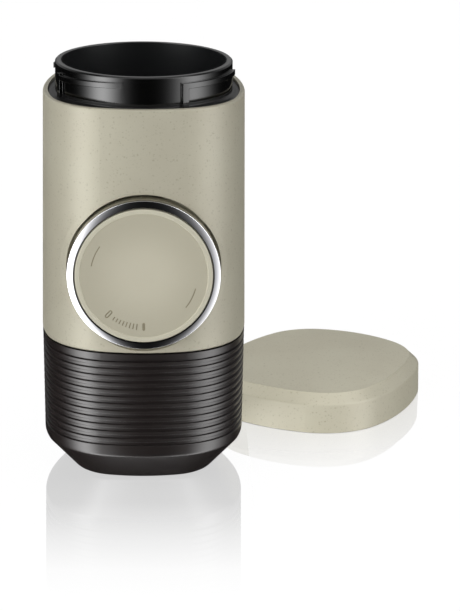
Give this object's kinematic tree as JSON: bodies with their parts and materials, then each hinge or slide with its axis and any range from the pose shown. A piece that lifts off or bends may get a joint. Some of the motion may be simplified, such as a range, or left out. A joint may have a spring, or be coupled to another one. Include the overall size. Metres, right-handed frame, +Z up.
{
  "type": "handheld manual espresso maker",
  "caption": "Handheld espresso maker: ribbed water tank, rounded shell with a side pump knob, open bayonet neck with capsule chamber, and its loose domed lid.",
  "frame": {"origin": "centre of the foot, on the floor", "axes": "+Z up along the body, the pump knob faces -Y"},
  "size_m": [0.1272, 0.1295, 0.1296],
  "materials": {
    "beige_plastic": "satin, fine dark specks",
    "tank_plastic": "satin",
    "liner_plastic": "gloss",
    "neck_plastic": "gloss",
    "inner_plastic": "satin",
    "acetal": "satin",
    "silicone": "matte",
    "steel": "satin",
    "chrome": "polished"
  },
  "bodies": {
    "tank": {"tank_shell": "tank_plastic", "tank_liner": "liner_plastic", "tank_collar": "tank_plastic", "foot_pad": "silicone"},
    "seal": {"tank_seal": "silicone"},
    "pump_body": {"coupling_plate": "inner_plastic", "coupling_screws": "steel", "vent_tube": "steel", "inlet_strainer": "steel", "inlet_block": "inner_plastic", "inlet_seat": "acetal", "body_shell": "beige_plastic", "pump_cylinder": "inner_plastic", "port_seal": "silicone", "pump_screws": "steel", "rod_bush": "acetal", "return_spring": "steel", "neck_collar": "neck_plastic", "neck_screws": "steel", "needle_plate": "steel", "chamber_sleeve": "inner_plastic"},
    "ball": {"inlet_ball": "steel"},
    "piston": {"piston_rod": "steel", "piston_head": "inner_plastic", "piston_seal": "silicone", "knob_screw": "steel"},
    "knob": {"knob_hub": "beige_plastic", "knob_ring": "chrome", "knob_disc": "beige_plastic"},
    "holder": {"capsule_holder": "inner_plastic", "tip_seal": "silicone"},
    "outlet": {"outlet_gasket": "silicone", "pierce_plate": "steel", "outlet_core": "inner_plastic"},
    "ring": {"lock_ring": "inner_plastic"},
    "lid": {"lid_shell": "beige_plastic", "lid_liner": "inner_plastic", "lid_seal": "silicone"}
  },
  "joints": [
    {"name": "tank_twist", "type": "hinge", "parent": "tank", "child": "seal", "pos_m": [0, 0, 0.04], "axis": [0, 0, 1], "range_deg": [0, 45]},
    {"name": "body_lift", "type": "slide", "parent": "seal", "child": "pump_body", "axis": [0, 0, 1], "range_m": [0, 0.06]},
    {"name": "ball_lift", "type": "slide", "parent": "pump_body", "child": "ball", "axis": [0, 0, 1], "range_m": [0, 0.002]},
    {"name": "piston_slide", "type": "slide", "parent": "pump_body", "child": "piston", "axis": [0, -1, 0], "range_m": [0, 0.022], "deforming": ["return_spring"]},
    {"name": "knob_turn", "type": "hinge", "parent": "piston", "child": "knob", "pos_m": [0, -0.03, 0.07], "axis": [0, -1, 0], "range_deg": [0, 42]},
    {"name": "holder_lift", "type": "slide", "parent": "pump_body", "child": "holder", "axis": [0, 0, 1], "range_m": [0, 0.05]},
    {"name": "outlet_lift", "type": "slide", "parent": "holder", "child": "outlet", "axis": [0, 0, 1], "range_m": [0, 0.03]},
    {"name": "ring_turn", "type": "hinge", "parent": "outlet", "child": "ring", "pos_m": [0, 0, 0.113], "axis": [0, 0, 1], "range_deg": [0, 30]},
    {"name": "lid_lift", "type": "slide", "parent": "tank", "child": "lid", "axis": [0, 0, 1], "range_m": [0, 0.15]}
  ]
}
